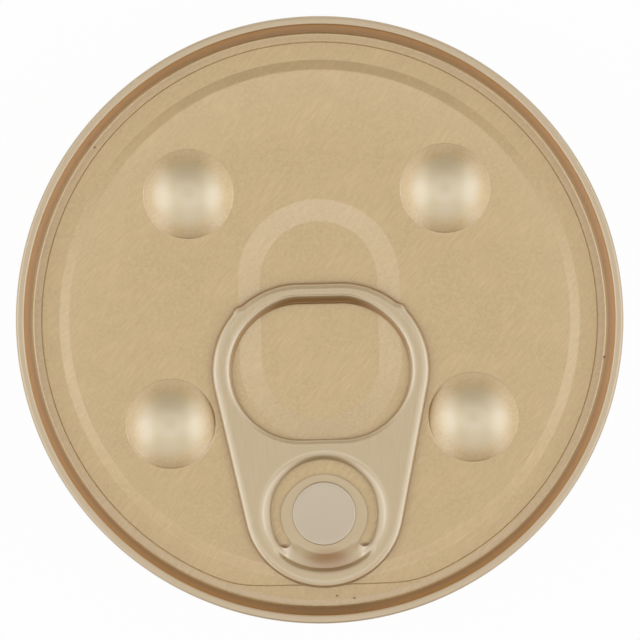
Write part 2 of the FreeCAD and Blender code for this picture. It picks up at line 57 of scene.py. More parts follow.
def rounded(corners, step=12.0):
    """A section as (radius, height) points from corners (radius, height, rounding): each
    rounding becomes an arc, with one more point on the straight run at both its ends."""
    section = []
    for index, (r, z, rounding) in enumerate(corners):
        if not rounding or index in (0, len(corners) - 1):
            section.append((r, z))
            continue
        before, after = corners[index - 1], corners[index + 1]
        back = (before[0] - r, before[1] - z)
        ahead = (after[0] - r, after[1] - z)
        back_length, ahead_length = math.hypot(*back), math.hypot(*ahead)
        back = (back[0] / back_length, back[1] / back_length)
        ahead = (ahead[0] / ahead_length, ahead[1] / ahead_length)
        turn = math.pi - math.acos(max(-1.0, min(1.0, back[0] * ahead[0] + back[1] * ahead[1])))
        reach = rounding * math.tan(turn / 2)
        bisector = (back[0] + ahead[0], back[1] + ahead[1])
        scale = rounding / math.cos(turn / 2) / math.hypot(*bisector)
        centre = (r + bisector[0] * scale, z + bisector[1] * scale)
        start = math.atan2(z + back[1] * reach - centre[1], r + back[0] * reach - centre[0])
        finish = math.atan2(z + ahead[1] * reach - centre[1], r + ahead[0] * reach - centre[0])
        sweep = (finish - start + math.pi) % (2 * math.pi) - math.pi
        steps = max(2, math.ceil(math.degrees(abs(sweep)) / step))
        lead_in = reach + min(0.12, 0.3 * max(back_length - reach, 0.0))
        lead_out = reach + min(0.12, 0.3 * max(ahead_length - reach, 0.0))
        section.append((r + back[0] * lead_in, z + back[1] * lead_in))
        for count in range(steps + 1):
            angle = start + sweep * count / steps
            section.append((centre[0] + rounding * math.cos(angle),
                            centre[1] + rounding * math.sin(angle)))
        section.append((r + ahead[0] * lead_out, z + ahead[1] * lead_out))
    return section


def select_where(piece, kind, test):
    """Select, in object mode, the vertices or polygons whose place passes the test."""
    mesh = piece.data
    for group in (mesh.vertices, mesh.edges, mesh.polygons):
        group.foreach_set("select", [False] * len(group))
    for part in getattr(mesh, kind):
        part.select = test(part.co if kind == "vertices" else part.center)


tip = 0.02                   # radius of the ring that is drawn together where a section meets its axis


def turned(name, section, steps, axis=(0.0, 0.0)):
    """Turn a section, (radius, height) in millimetres, about an upright axis: a circle is
    extruded and resized from point to point."""
    x, y = axis
    radius, height = section[0]
    bpy.ops.object.select_all(action="DESELECT")
    bpy.ops.mesh.primitive_circle_add(vertices=steps, radius=radius * mm,
                                      location=(x * mm, y * mm, height * mm))
    piece = bpy.context.object
    piece.name = name
    bpy.ops.object.transform_apply(location=True, rotation=True, scale=True)
    bpy.ops.object.mode_set(mode="EDIT")
    for next_radius, next_height in section[1:]:
        rise = (next_height - height) * mm
        growth = next_radius / radius
        bpy.ops.mesh.extrude_region_move(TRANSFORM_OT_translate={"value": (0, 0, rise)})
        bpy.ops.transform.resize(value=(growth, growth, 1), center_override=(x * mm, y * mm, 0))
        radius, height = next_radius, next_height
    bpy.ops.object.mode_set(mode="OBJECT")
    for radius, height in (section[0], section[-1]):
        if radius == tip:
            select_where(piece, "vertices", lambda place: abs(place.z / mm - height) < 0.001
                         and math.hypot(place.x / mm - x, place.y / mm - y) < 2 * tip)
            bpy.ops.object.mode_set(mode="EDIT")
            bpy.ops.mesh.select_mode(type="VERT")
            bpy.ops.mesh.merge(type="CENTER")
            bpy.ops.object.mode_set(mode="OBJECT")
    return piece


def close_up(piece, sharp_angle):
    """Merge doubles, turn the faces outwards and shade smooth between faces under the angle."""
    bpy.ops.object.select_all(action="DESELECT")
    piece.select_set(True)
    bpy.context.view_layer.objects.active = piece
    bpy.ops.object.mode_set(mode="EDIT")
    bpy.ops.mesh.select_all(action="SELECT")
    bpy.ops.mesh.remove_doubles(threshold=0.000002)
    bpy.ops.mesh.normals_make_consistent(inside=False)
    bpy.ops.object.mode_set(mode="OBJECT")
    bpy.ops.object.shade_smooth_by_angle(angle=math.radians(sharp_angle))


base_top = base_recess + ring_step
can_shell = turned("can_shell", rounded([
    (tip, base_top, 0),
    (base_middle, base_top, ring_round),
    (base_middle + ring_step, base_recess, ring_round),
    (base_ring_inner, base_recess, ring_round),
    (base_ring_inner + ring_step, base_top, ring_round),
    (base_ring_outer - ring_step, base_top, ring_round),
    (base_ring_outer, base_recess, ring_round),
    (foot_inner - foot_flank, base_recess, ring_round),
    (foot_inner, 0.0, 0.4),
    (foot_outer, 0.0, 0.8),
    (wall_radius, heel_rise, 1.6),
    (wall_radius, seam_bottom, 0),
    (inner_wall, seam_bottom, 0),
    (inner_wall, fill_top, 0),
    (tip, fill_top, 0),
]), round_points)
close_up(can_shell, 40)


def coated_metal(name, coat_ior):
    """Bare bright metal under a clear coat of satin lacquer."""
    material = bpy.data.materials.new(name)
    material.use_nodes = True
    shader = material.node_tree.nodes["Principled BSDF"]
    shader.inputs["Metallic"].default_value = 1.0
    shader.inputs["Coat Weight"].default_value = 1.0
    shader.inputs["Coat IOR"].default_value = coat_ior
    shader.inputs["Coat Roughness"].default_value = 0.22
    return material


def noise(material, scale, detail, place=None):
    """Fine noise over the piece, or over the places that are given."""
    nodes, links = material.node_tree.nodes, material.node_tree.links
    if place is None:
        place = nodes.new("ShaderNodeTexCoord").outputs["Object"]
    texture = nodes.new("ShaderNodeTexNoise")
    texture.inputs["Scale"].default_value = scale
    texture.inputs["Detail"].default_value = detail
    links.new(place, texture.inputs["Vector"])
    return texture.outputs["Fac"]


def rolling_streaks(material, angle, stretch, seed=0.0):
    """The grain that rolling leaves: noise drawn out by the stretch, turned by the angle."""
    nodes, links = material.node_tree.nodes, material.node_tree.links
    along = nodes.new("ShaderNodeMapping")
    along.vector_type = "TEXTURE"
    along.inputs["Location"].default_value = (seed, seed, seed)
    along.inputs["Rotation"].default_value = (0, 0, math.radians(angle))
    along.inputs["Scale"].default_value = stretch
    links.new(nodes.new("ShaderNodeTexCoord").outputs["Object"], along.inputs["Vector"])
    return noise(material, scale=5200, detail=3, place=along.outputs["Vector"])


def spread(material, value, low, high, to_low, to_high):
    """Carry a value from the range low to high over to another range."""
    nodes, links = material.node_tree.nodes, material.node_tree.links
    share = nodes.new("ShaderNodeMapRange")
    share.inputs["From Min"].default_value = low
    share.inputs["From Max"].default_value = high
    share.inputs["To Min"].default_value = to_low
    share.inputs["To Max"].default_value = to_high
    links.new(value, share.inputs["Value"])
    return share.outputs["Result"]


def grained(material, grain, tone, dark, light):
    """Give the metal its two colours by the tone, and a faint relief by the grain."""
    nodes, links = material.node_tree.nodes, material.node_tree.links
    shader = nodes["Principled BSDF"]
    colour = nodes.new("ShaderNodeValToRGB")
    colour.color_ramp.elements[0].color = dark
    colour.color_ramp.elements[1].color = light
    links.new(tone, colour.inputs["Fac"])
    links.new(colour.outputs["Color"], shader.inputs["Base Color"])
    relief = nodes.new("ShaderNodeBump")
    relief.inputs["Strength"].default_value = 0.25
    relief.inputs["Distance"].default_value = 0.000004
    links.new(grain, relief.inputs["Height"])
    links.new(relief.outputs["Normal"], shader.inputs["Normal"])


def gold_lacquer(name, grain_angle, grain_length, grain_contrast, seed):
    """Satin gold lacquer over rolled sheet.  Its grain is streaks in some patches and round
    flecks in others, and the lacquer is a little uneven."""
    material = coated_metal(name, coat_ior=2.0)
    nodes, links = material.node_tree.nodes, material.node_tree.links
    streaks = rolling_streaks(material, grain_angle, (grain_length, 1, 1), seed)
    flecks = noise(material, scale=3400, detail=4)
    cloud = noise(material, scale=240, detail=4)
    grain = nodes.new("ShaderNodeMix")
    links.new(spread(material, cloud, 0.42, 0.6, 0.15, 0.85), grain.inputs["Factor"])
    links.new(flecks, grain.inputs["A"])
    links.new(streaks, grain.inputs["B"])

    contrast = spread(material, grain.outputs["Result"], 0.3, 0.7,
                      0.1 - grain_contrast, 0.1 + grain_contrast)
    drift = nodes.new("ShaderNodeMath")
    drift.operation = "MULTIPLY_ADD"
    drift.inputs[1].default_value = 0.8
    links.new(cloud, drift.inputs[0])
    links.new(contrast, drift.inputs[2])
    grained(material, grain.outputs["Result"], drift.outputs["Value"],
            (0.535, 0.38, 0.172, 1), (0.655, 0.47, 0.227, 1))
    links.new(spread(material, cloud, 0.0, 1.0, 0.42, 0.5), nodes["Principled BSDF"].inputs["Roughness"])
    return material


can_shell.data.materials.append(gold_lacquer("shell_lacquer", 90, 14, 0.3, 0.31))
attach(can_shell, "root")
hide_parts("can_body")

# ------------------------------------------------------------------ lid
# The full-opening end is one disc of lacquered sheet.  Its edge is rolled with the body's
# flange into the double seam.  Inside the seam a chuck wall runs down to a groove, then come
# the score line, a raised bead, four pressed domes and a sunk finger well.

seam_radius, seam_inner = 34.15, 33.22
can_height = 36.5
groove_start, groove_radius, groove_depth = 31.6, 32.28, 0.06
outer_panel = panel_top + 0.02
bead_start, bead_radius, bead_end = 27.3, 28.15, 29.3
bead_crest = panel_top + 0.18
slope_start, slope_end = 20.5, 27.75
dome_radius, dome_height = 5.06, 1.21
dome_curve, dome_shoulder = 11.3, 4.86
dome_circle = 20.45
dome_edge = 5.6              # outer edge of the flat rim that joins a dome to the panel
well_radius, well_straight = 9.1, 4.5
well_slope, well_depth, well_round = 2.5, 0.2, 1.6
well_edge = well_radius + 0.3
well_clear = 14.2            # inner edge of the turned part, just outside the finger well
score_radius, score_chord = 31.27, 29.8
score_half, score_floor, score_depth = 0.06, 0.015, 0.1
block_inner, block_outer, block_rows = 14.5, 26.5, 22    # the blocks that the domes take up
block_half = 13
dome_steps, dome_rings = 96, 14
flat_edge = 27.0             # the middle of the end is pressed flat out to here
turn_step = 360.0 / round_points
upper_side = 32.0 * mm       # the hidden underside is level below this
raised = 1.0                 # pressings are held this high while they are joined on


def panel_height(radius):
    """The panel is flat in the middle and rises gently towards the bead."""
    share = max(0.0, min(1.0, (radius - slope_start) / (slope_end - slope_start)))
    return panel_top + (bead_crest - panel_top) * share ** 1.5


lid_section = [(well_clear, panel_top)]
lid_section += [(block_inner + (block_outer - block_inner) * row / block_rows, panel_top)
                for row in range(block_rows + 1)]
lid_section += [(flat_edge, panel_top)]
lid_section += rounded([
    (bead_start, panel_height(bead_start), 0),
    (bead_radius, bead_crest + 0.02, 0.5),
    (bead_end, outer_panel, 0.5),
    (score_radius - 2 * score_half, outer_panel, 0),
], step=8.0)
lid_section += [
    (score_radius - score_half, outer_panel),
    (score_radius - score_floor, outer_panel - score_depth),
    (score_radius + score_floor, outer_panel - score_depth),
    (score_radius + score_half, outer_panel),
]
lid_section += rounded([
    (score_radius + 2 * score_half, outer_panel, 0),
    (groove_start, outer_panel, 1.5),
    (groove_radius, outer_panel - groove_depth, 0.22),
    (seam_inner, can_height, 0.26),
    (seam_radius, can_height, 0.3),
    (seam_radius, seam_bottom, 0.3),
    (inner_wall, seam_bottom, 0),
    (inner_wall, fill_top, 0),
    (tip, fill_top, 0),
], step=8.0)
lid = turned("lid", lid_section, round_points)

dome_places = []
for side in (1, -1):
    for steps_round in (32, 88):
        angle = math.radians(steps_round * turn_step)
        dome_places.append((side * dome_circle * math.sin(angle), dome_circle * math.cos(angle)))
        middle = 90.0 - side * steps_round * turn_step

        def in_block(place, middle=middle):
            radius = math.hypot(place.x, place.y) / mm
            off = (math.degrees(math.atan2(place.y, place.x)) - middle + 180.0) % 360.0 - 180.0
            return (block_inner < radius < block_outer and abs(off) < block_half * turn_step
                    and place.z > upper_side)

        select_where(lid, "polygons", in_block)
        bpy.ops.object.mode_set(mode="EDIT")
        bpy.ops.mesh.select_mode(type="FACE")
        bpy.ops.mesh.delete(type="FACE")
        # A bare circle can't be selected in face mode.
        bpy.ops.mesh.select_mode(type="EDGE")
        bpy.ops.object.mode_set(mode="OBJECT")


def crown_height(reach):
    """Height of a dome's round crown above the panel, at a reach from its middle."""
    return math.sqrt(dome_curve ** 2 - reach ** 2) - dome_curve + dome_height


crown = [dome_shoulder * count / dome_rings for count in range(1, dome_rings)]
dome_section = rounded([
    (tip, dome_height, 0),
    *[(reach, crown_height(reach), 0) for reach in crown],
    (dome_shoulder, crown_height(dome_shoulder), 0.5),
    (dome_radius, 0.0, 0.3),
    (dome_edge, 0.0, 0),
], step=3.0)
dome_section = [(radius, panel_top + height + raised) for radius, height in dome_section]
domes = [turned("dome", dome_section, dome_steps, dome) for dome in dome_places]


def pulled_apart(piece, axis, reach):
    """Move the two halves of a turned piece apart along X (axis 0) or Y (axis 1), so that its
    circles become slots with round ends."""
    for direction in (1, -1):
        select_where(piece, "vertices",
                     lambda place: place[axis] * direction > (0 if direction > 0 else -0.0000001))
        step = [0.0, 0.0, 0.0]
        step[axis] = direction * reach * mm
        bpy.ops.object.mode_set(mode="EDIT")
        bpy.ops.mesh.select_mode(type="VERT")
        bpy.ops.transform.translate(value=step)
        bpy.ops.object.mode_set(mode="OBJECT")


def open_rims(piece, test):
    """Select the open edges of a piece whose middle passes the test, and go to edit mode."""
    mesh = piece.data
    uses = [0] * len(mesh.edges)
    for loop in mesh.loops:
        uses[loop.edge_index] += 1
    for group in (mesh.vertices, mesh.polygons):
        group.foreach_set("select", [False] * len(group))
    for edge in mesh.edges:
        place = (mesh.vertices[edge.vertices[0]].co + mesh.vertices[edge.vertices[1]].co) / 2
        edge.select = uses[edge.index] == 1 and test(place)
    bpy.ops.object.mode_set(mode="EDIT")
    bpy.ops.mesh.select_mode(type="EDGE")


well_floor = panel_top - well_depth
well_section = rounded([
    (well_radius - well_slope - 0.6, well_floor, 0),
    (well_radius - well_slope, well_floor, well_round),
    (well_radius, panel_top, well_round),
    (well_edge, panel_top, 0),
], step=1.6)
well = turned("well", [(radius, height + raised) for radius, height in well_section], round_points)
pulled_apart(well, 1, well_straight)
open_rims(well, lambda place: place.z < (well_floor + well_depth / 2 + raised) * mm)
bpy.ops.mesh.edge_face_add()
bpy.ops.object.mode_set(mode="OBJECT")

bpy.ops.object.select_all(action="DESELECT")
for piece in domes + [well, lid]:
    piece.select_set(True)
bpy.context.view_layer.objects.active = lid
bpy.ops.object.join()


def near(place, centre, low, high):
    """Whether a point of the upper side lies between two radii about a centre."""
    radius = math.hypot(place.x - centre[0] * mm, place.y - centre[1] * mm)
    return place.z > upper_side and low * mm < radius < high * mm


joins = [((0.0, 0.0), 9.0, well_clear + 0.1, 6)]
joins += [(dome, dome_edge - 0.1, 9.8, 5) for dome in dome_places]
for centre, low, high, cuts in joins:
    open_rims(lid, lambda place: near(place, centre, low, high))
    bpy.ops.mesh.bridge_edge_loops(number_cuts=cuts, interpolation="LINEAR")
    bpy.ops.object.mode_set(mode="OBJECT")


def on_middle(place):
    """Whether a point belongs to the middle of the end, within the bead."""
    return near(place, (0, 0), -1, flat_edge + 0.1)


def pressed(place):
    """Whether a point of the middle belongs to a dome or to the finger well."""
    well_reach = math.hypot(place.x, max(0.0, abs(place.y) - well_straight * mm)) / mm
    return well_reach < well_edge + 0.01 or any(near(place, dome, -1, dome_edge + 0.005)
                                                for dome in dome_places)


# The pressings come down into the panel, and the joins between them are laid level.
select_where(lid, "vertices", lambda place: on_middle(place) and pressed(place))
bpy.ops.object.mode_set(mode="EDIT")
bpy.ops.mesh.select_mode(type="VERT")
bpy.ops.transform.translate(value=(0, 0, -raised * mm))
bpy.ops.object.mode_set(mode="OBJECT")
select_where(lid, "vertices", lambda place: on_middle(place) and not pressed(place))
bpy.ops.object.mode_set(mode="EDIT")
bpy.ops.transform.resize(value=(1, 1, 0), center_override=(0, 0, panel_top * mm))
bpy.ops.object.mode_set(mode="OBJECT")

score_reach = (29.4, 31.5)   # the stretch of the outer panel that moves with the score
corner_power = 96            # makes the score turn sharply from its arc into its straight run


def drawn_to_chord(radius, down):
    """Radius of a point of the outer panel once the score runs straight under the tab's nose.
    down is 1 for a point straight below the nose and 0 for one beside the middle."""
    bent = 1.0 + (down * score_radius / score_chord) ** corner_power
    shift = score_radius / bent ** (1.0 / corner_power) - score_radius
    inner, outer = score_reach
    share = 1.0
    if radius < score_radius - 2.1 * score_half:
        share = (radius - inner) / (score_radius - inner)
    elif radius > score_radius + score_half:
        share = (outer - radius) / (outer - score_radius - score_half)
    return radius + shift * share


for vertex in lid.data.vertices:
    radius = math.hypot(vertex.co.x, vertex.co.y) / mm
    if on_middle(vertex.co):
        vertex.co.z += (panel_height(radius) - panel_top) * mm
    elif near(vertex.co, (0, 0), *score_reach) and vertex.co.y < 0:
        growth = drawn_to_chord(radius, -vertex.co.y / mm / radius) / radius
        vertex.co.x *= growth
        vertex.co.y *= growth
close_up(lid, 50)

# Paler where the lacquer is drawn thin on the dome crowns, with a painted highlight.
crown_pale_and_highlight = (0.66, 0.545, 0.335, 1)
# A painted copper shade down the chuck wall, darkest in the groove at its foot.
painted_groove_shade = (0.36, 0.13, 0.01, 1)
painted_wall_shade = (0.56, 0.25, 0.02, 1)
seam_gold = (0.59, 0.455, 0.275, 1)
slot_shade = (0.30, 0.14, 0.03, 1)
dirt = (0.16, 0.06, 0.01, 1)
slot_end_x, slot_end_y = 4.6, -25.45


def height_on(material):
    """The height of each place on the piece, in metres."""
    nodes, links = material.node_tree.nodes, material.node_tree.links
    parts = nodes.new("ShaderNodeSeparateXYZ")
    links.new(nodes.new("ShaderNodeTexCoord").outputs["Object"], parts.inputs["Vector"])
    return parts.outputs["Z"]


def distance_to(material, x, y, widen):
    """The distance of each place, across the top and in metres, from a point given in
    millimetres.  What is drawn by it comes out widened along X."""
    nodes, links = material.node_tree.nodes, material.node_tree.links
    offset = nodes.new("ShaderNodeVectorMath")
    offset.operation = "SUBTRACT"
    offset.inputs[1].default_value = (x * mm, y * mm, 0)
    links.new(nodes.new("ShaderNodeTexCoord").outputs["Object"], offset.inputs[0])
    level = nodes.new("ShaderNodeVectorMath")
    level.operation = "MULTIPLY"
    level.inputs[1].default_value = (1 / widen, 1, 0)
    links.new(offset.outputs["Vector"], level.inputs[0])
    length = nodes.new("ShaderNodeVectorMath")
    length.operation = "LENGTH"
    links.new(level.outputs["Vector"], length.inputs[0])
    return length.outputs["Value"]


def tinted(material, measure, start, full, colour):
    """Blend the material's colour towards another one: not at all where the measure is at
    start, and fully where it is at full, both in millimetres."""
    nodes, links = material.node_tree.nodes, material.node_tree.links
    share = nodes.new("ShaderNodeMapRange")
    share.interpolation_type = "SMOOTHSTEP"
    share.inputs["From Min"].default_value = start * mm
    share.inputs["From Max"].default_value = full * mm
    links.new(measure, share.inputs["Value"])
    blend = nodes.new("ShaderNodeMix")
    blend.data_type = "RGBA"
    blend.inputs["B"].default_value = colour
    links.new(share.outputs["Result"], blend.inputs["Factor"])
    base = nodes["Principled BSDF"].inputs["Base Color"]
    links.new(base.links[0].from_socket, blend.inputs["A"])
    links.new(blend.outputs["Result"], base)


# The lacquer is drawn thin and pale on the dome crowns, with a painted highlight there; a painted
# copper shade runs down the chuck wall, deepest in the groove, and the seam is gold again.
lid_lacquer = gold_lacquer("lid_lacquer", 50, 8, 0.42, 0.0)
tinted(lid_lacquer, height_on(lid_lacquer), panel_top + 0.35, panel_top + 1.05, crown_pale_and_highlight)
from_middle = distance_to(lid_lacquer, 0, 0, 1)
tinted(lid_lacquer, from_middle, 32.34, 32.46, painted_groove_shade)
tinted(lid_lacquer, from_middle, 32.5, 33.1, painted_wall_shade)
tinted(lid_lacquer, from_middle, 33.15, 33.35, seam_gold)
# The deep shade at both ends of the tab's slot, and four specks of dirt by the score and the
# groove.
for x in (-slot_end_x, slot_end_x):
    tinted(lid_lacquer, distance_to(lid_lacquer, x, slot_end_y, 1.7), 0.45, 0.1, slot_shade)
for x, y, size in [(31.95, -4.93, 0.2), (1.22, -31.08, 0.15), (3.17, -31.4, 0.17), (-24.85, 20.01, 0.16)]:
    tinted(lid_lacquer, distance_to(lid_lacquer, x, y, 1.3), size, size / 3, dirt)
lid.data.materials.append(lid_lacquer)
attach(lid, "root")
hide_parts("can_end")

# ------------------------------------------------------------------ rivet
# The rivet is drawn up out of the lid's own sheet, through the tab, and its head is pressed
# flat over the tab's island.  The lacquer is stretched thin on it, so it is paler and greyer.

rivet_y = -21.8
island_top = panel_top + 0.5
shank_radius, shank_bottom = 2.0, panel_top + 0.02
head_radius, head_height = 3.52, 0.32
head_hollow, hollow_depth = 1.5, 0.03
head_top = island_top + head_height
rivet = turned("rivet", rounded([
    (tip, shank_bottom, 0),
    (shank_radius, shank_bottom, 0),
    (shank_radius, island_top, 0),
    (head_radius + 0.1, island_top, 0.04),
    (head_radius, head_top, 0.1),
    (head_radius - 0.5, head_top, 3.0),
    (head_hollow, head_top - hollow_depth, 0),
    (tip, head_top - hollow_depth, 0),
], step=15.0), 128, (0.0, rivet_y))
close_up(rivet, 50)


def bright_sheet(name, grain_contrast, dark, light):
    """Champagne tinplate with a clear lacquer, brushed along the tab."""
    material = coated_metal(name, coat_ior=2.3)
    material.node_tree.nodes["Principled BSDF"].inputs["Roughness"].default_value = 0.5
    grain = rolling_streaks(material, 0, (1, 16, 1))
    tone = spread(material, grain, 0.3, 0.7, 0.5 - grain_contrast, 0.5 + grain_contrast)
    grained(material, grain, tone, dark, light)
    return material


rivet.data.materials.append(bright_sheet("rivet_metal", 0.05, (0.54, 0.44, 0.295, 1),
                                         (0.59, 0.48, 0.325, 1)))
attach(rivet, "root")
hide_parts("can_end")

# ------------------------------------------------------------------ ring_pull
# The ring pull is stamped from plain bright sheet.  Its edges are curled under all round and
# round the finger hole, and the island round the rivet is pressed down into a dish and cut
# free by a C-shaped slot, so that the nose can lever the score open.

tab_top, rim_bottom = panel_top + 1.45, panel_top + 0.25
tab_sheet = 0.4
ring_y, ring_half, ring_radius = -5.62, 2.35, 9.95
nose_y, nose_radius = -21.08, 9.07
hole_radius, hole_half = 7.8, 2.33
slot_inner, slot_outer, slot_end = 4.85, 6.1, 125.5
island_trim = 0.45           # the island is this much narrower towards the ring
curl, rim_lean = 0.45, 0.1
crown_lean = math.radians(17)
tab_steps = 192


def crowned(edge, inward, slow, tight):
    """Section points of a curled edge, from the upright edge in to the level web: a tight
    round, then a slow one.  inward is 1 where the metal lies inside the edge's radius."""
    width = slow * math.sin(crown_lean) + tight * (1 - math.sin(crown_lean))
    points = [(edge - inward * (width + 0.1), tab_top)]
    for count in range(8):
        lean = crown_lean * count / 7
        points.append((edge - inward * (width - slow * math.sin(lean)),
                       tab_top - slow * (1 - math.cos(lean))))
    shoulder = tab_top - slow * (1 - math.cos(crown_lean)) - tight * math.cos(crown_lean)
    for count in range(1, 9):
        lean = crown_lean + (math.pi / 2 - crown_lean) * count / 8
        points.append((edge - inward * tight * (1 - math.sin(lean)), shoulder + tight * math.cos(lean)))
    return points[::-1]


# The rim starts as a circle about the nose.  Its upper part is spread out to the ring's two
# circles, and the straight sides are the tangents between them.
rim = turned("ring_pull", rounded([
    (nose_radius - 1.0, rim_bottom, 0),
    (nose_radius, rim_bottom, curl),
    (nose_radius, rim_bottom + curl + 0.02, 0),
], step=9.0) + crowned(nose_radius - rim_lean, 1, 2.2, 0.26), tab_steps, (0.0, nose_y))
ring_reach = ring_y - nose_y
tangent = math.degrees(math.atan2(ring_reach, ring_half)
                       - math.acos((nose_radius - ring_radius) / math.hypot(ring_half, ring_reach)))
for side in (1, -1):
    def on_ring(place, side=side):
        bearing = math.degrees(math.atan2(place.y - nose_y * mm, side * place.x))
        return tangent < bearing <= (90.0 if side > 0 else 89.9)

    select_where(rim, "vertices", on_ring)
    bpy.ops.object.mode_set(mode="EDIT")
    bpy.ops.mesh.select_mode(type="VERT")
    growth = ring_radius / nose_radius
    bpy.ops.transform.resize(value=(growth, growth, 1), center_override=(0, nose_y * mm, 0))
    bpy.ops.transform.translate(value=(side * ring_half * mm, ring_reach * mm, 0))
    bpy.ops.object.mode_set(mode="OBJECT")

hole = turned("hole", rounded([
    (hole_radius + 1.0, rim_bottom, 0),
    (hole_radius, rim_bottom, 0.2),
    (hole_radius, rim_bottom + 0.22, 0),
], step=9.0) + crowned(hole_radius, -1, 1.8, 0.3), tab_steps, (0.0, ring_y))
pulled_apart(hole, 0, hole_half)


def ramp(place, low, high):
    """0 below low and 1 above high, with a smooth rise between them."""
    share = max(0.0, min(1.0, (place - low) / (high - low)))
    return share * share * (3 - 2 * share)


def from_centre(vertex, half):
    """Radius and bearing of a vertex about the nearest point of the line between the ring's two
    centres, and where on X that point is."""
    x, y = vertex.co.x / mm, vertex.co.y / mm
    centre = max(-half, min(half, x))
    return math.hypot(x - centre, y - ring_y), math.atan2(y - ring_y, x - centre), centre


# The outer edge is drawn in a little round the end of the ring, with a small nub where
# that starts on each side.
nub, drawn_in = 0.18, 0.17
for vertex in rim.data.vertices:
    radius, bearing, centre = from_centre(vertex, ring_half)
    if bearing > 0 and radius > 8.5:
        off_end = abs(math.degrees(bearing) - 90.0)
        shift = nub * math.exp(-((off_end - 45.5) / 2.4) ** 2) - drawn_in * ramp(-off_end, -44.0, -40.0)
        radius += shift * ramp(radius, 8.9, 9.6)
        vertex.co.x = (centre + radius * math.cos(bearing)) * mm
        vertex.co.y = (ring_y + radius * math.sin(bearing)) * mm

# The wall of the finger hole leans in below, most of all at the end of the ring.
for vertex in hole.data.vertices:
    radius, bearing, centre = from_centre(vertex, hole_half)
    upper = 0.05 + 0.3 * max(0.0, math.sin(bearing)) ** 10
    lower = -0.2 - 0.2 * math.sin(bearing)
    depth = ramp(tab_top - 0.3 - vertex.co.z / mm, 0.0, tab_top - 0.3 - rim_bottom - 0.1)
    on_wall = 1 - ramp(radius, hole_radius + 0.25, hole_radius + 0.8)
    radius += (upper + (lower - upper) * depth) * on_wall
    vertex.co.x = (centre + radius * math.cos(bearing)) * mm
    vertex.co.y = (ring_y + radius * math.sin(bearing)) * mm

dish_crest, dish_fall = 7.7, 0.5
tongue_start, tongue_foot, tongue_rise = 4.5, 6.15, 0.25
wall_slope, crest_ease = 1.46, 0.25


def dish_edge(bearing):
    """Radius of the dish's crest about the rivet, a little less towards the nose and towards the
    ring.  bearing is taken from +Y."""
    return dish_crest - 0.4 * math.cos(bearing) ** 2


def dish_height(radius, bearing):
    """Height of the dish about the rivet.  It falls gently to the slot; on the nose side the
    uncut tongue leans up from the island to a steeper wall."""
    crest = dish_edge(bearing)
    fall = max(0.0, min(1.0, (crest - radius) / (crest - slot_outer)))
    gentle = tab_top - dish_fall * fall ** 3
    if radius < slot_outer:
        gentle = island_top + (gentle - island_top) * ramp(radius, slot_inner, slot_outer)
    foot = tongue_foot + 0.78 * math.sin(bearing) ** 2
    share = max(0.0, min(1.0, (radius - tongue_start) / (foot - tongue_start)))
    tongue = island_top + tongue_rise * (1 - (1 - share) ** 1.6)
    wall = tongue + wall_slope * max(0.0, radius - foot)
    mix = max(0.0, min(1.0, 0.5 + 0.5 * (tab_top - wall) / crest_ease))
    steep = tab_top * (1 - mix) + wall * mix - crest_ease * mix * (1 - mix)
    return gentle + (steep - gentle) * ramp(abs(bearing), math.radians(122), math.radians(143))


dish_radii = [2.1, 3.0, 4.0, 4.4]
dish_radii += [tongue_start + 0.15 * count for count in range(11)]
dish_radii += [slot_outer + 0.08 * count for count in range(21)]
dish = turned("dish", [(radius, tab_top) for radius in dish_radii], tab_steps, (0.0, rivet_y))
for vertex in dish.data.vertices:
    x, y = vertex.co.x / mm, vertex.co.y / mm - rivet_y
    radius, bearing = math.hypot(x, y), math.atan2(x, y)
    if radius > slot_outer:
        narrowing = (dish_edge(bearing) - slot_outer) / (dish_crest - slot_outer)
        radius = slot_outer + (radius - slot_outer) * narrowing
    vertex.co.x = radius * math.sin(bearing) * mm
    vertex.co.y = (rivet_y + radius * math.cos(bearing)) * mm
    vertex.co.z = dish_height(radius, bearing) * mm

# The web is filled in level between the rim, the hole and the dish.
bpy.ops.object.select_all(action="DESELECT")
for piece in (dish, hole, rim):
    piece.select_set(True)
bpy.context.view_layer.objects.active = rim
bpy.ops.object.join()
ring_pull = rim
open_rims(ring_pull, lambda place: place.z > (tab_top - 0.01) * mm)
bpy.ops.mesh.fill(use_beauty=True)
bpy.ops.mesh.select_all(action="SELECT")
bpy.ops.mesh.normals_make_consistent(inside=False)
bpy.ops.object.mode_set(mode="OBJECT")


def finish_modifier(piece, kind, **settings):
    """Add one modifier with these settings and apply it."""
    bpy.ops.object.select_all(action="DESELECT")
    piece.select_set(True)
    bpy.context.view_layer.objects.active = piece
    bpy.ops.object.modifier_add(type=kind)
    modifier = piece.modifiers[-1]
    for setting, value in settings.items():
        setattr(modifier, setting, value)
    bpy.ops.object.modifier_apply(modifier=modifier.name)


finish_modifier(ring_pull, "SOLIDIFY", thickness=tab_sheet * mm, offset=-1.0)

# The slot is cut by a bar that is spun round the rivet, with a round pin at each of its ends.
slot_middle = (slot_inner + slot_outer) / 2
slot_half = (slot_outer - slot_inner) / 2
bar_top, bar_bottom = island_top + 1.6, island_top - 0.6
bpy.ops.object.select_all(action="DESELECT")
bpy.ops.mesh.primitive_plane_add(size=1.0)
bar = bpy.context.object
start = math.radians(90.0 - slot_end)
for vertex in bar.data.vertices:
    reach = slot_middle + (slot_half if vertex.co.x > 0 else -slot_half)
    level = bar_top if vertex.co.y > 0 else bar_bottom
    vertex.co = (reach * math.cos(start) * mm, (rivet_y + reach * math.sin(start)) * mm, level * mm)
bpy.ops.object.mode_set(mode="EDIT")
bpy.ops.mesh.select_all(action="SELECT")
bpy.ops.mesh.spin(steps=90, angle=math.radians(-2 * slot_end),
                  center=(0, rivet_y * mm, 0), axis=(0, 0, 1))
bpy.ops.object.mode_set(mode="OBJECT")
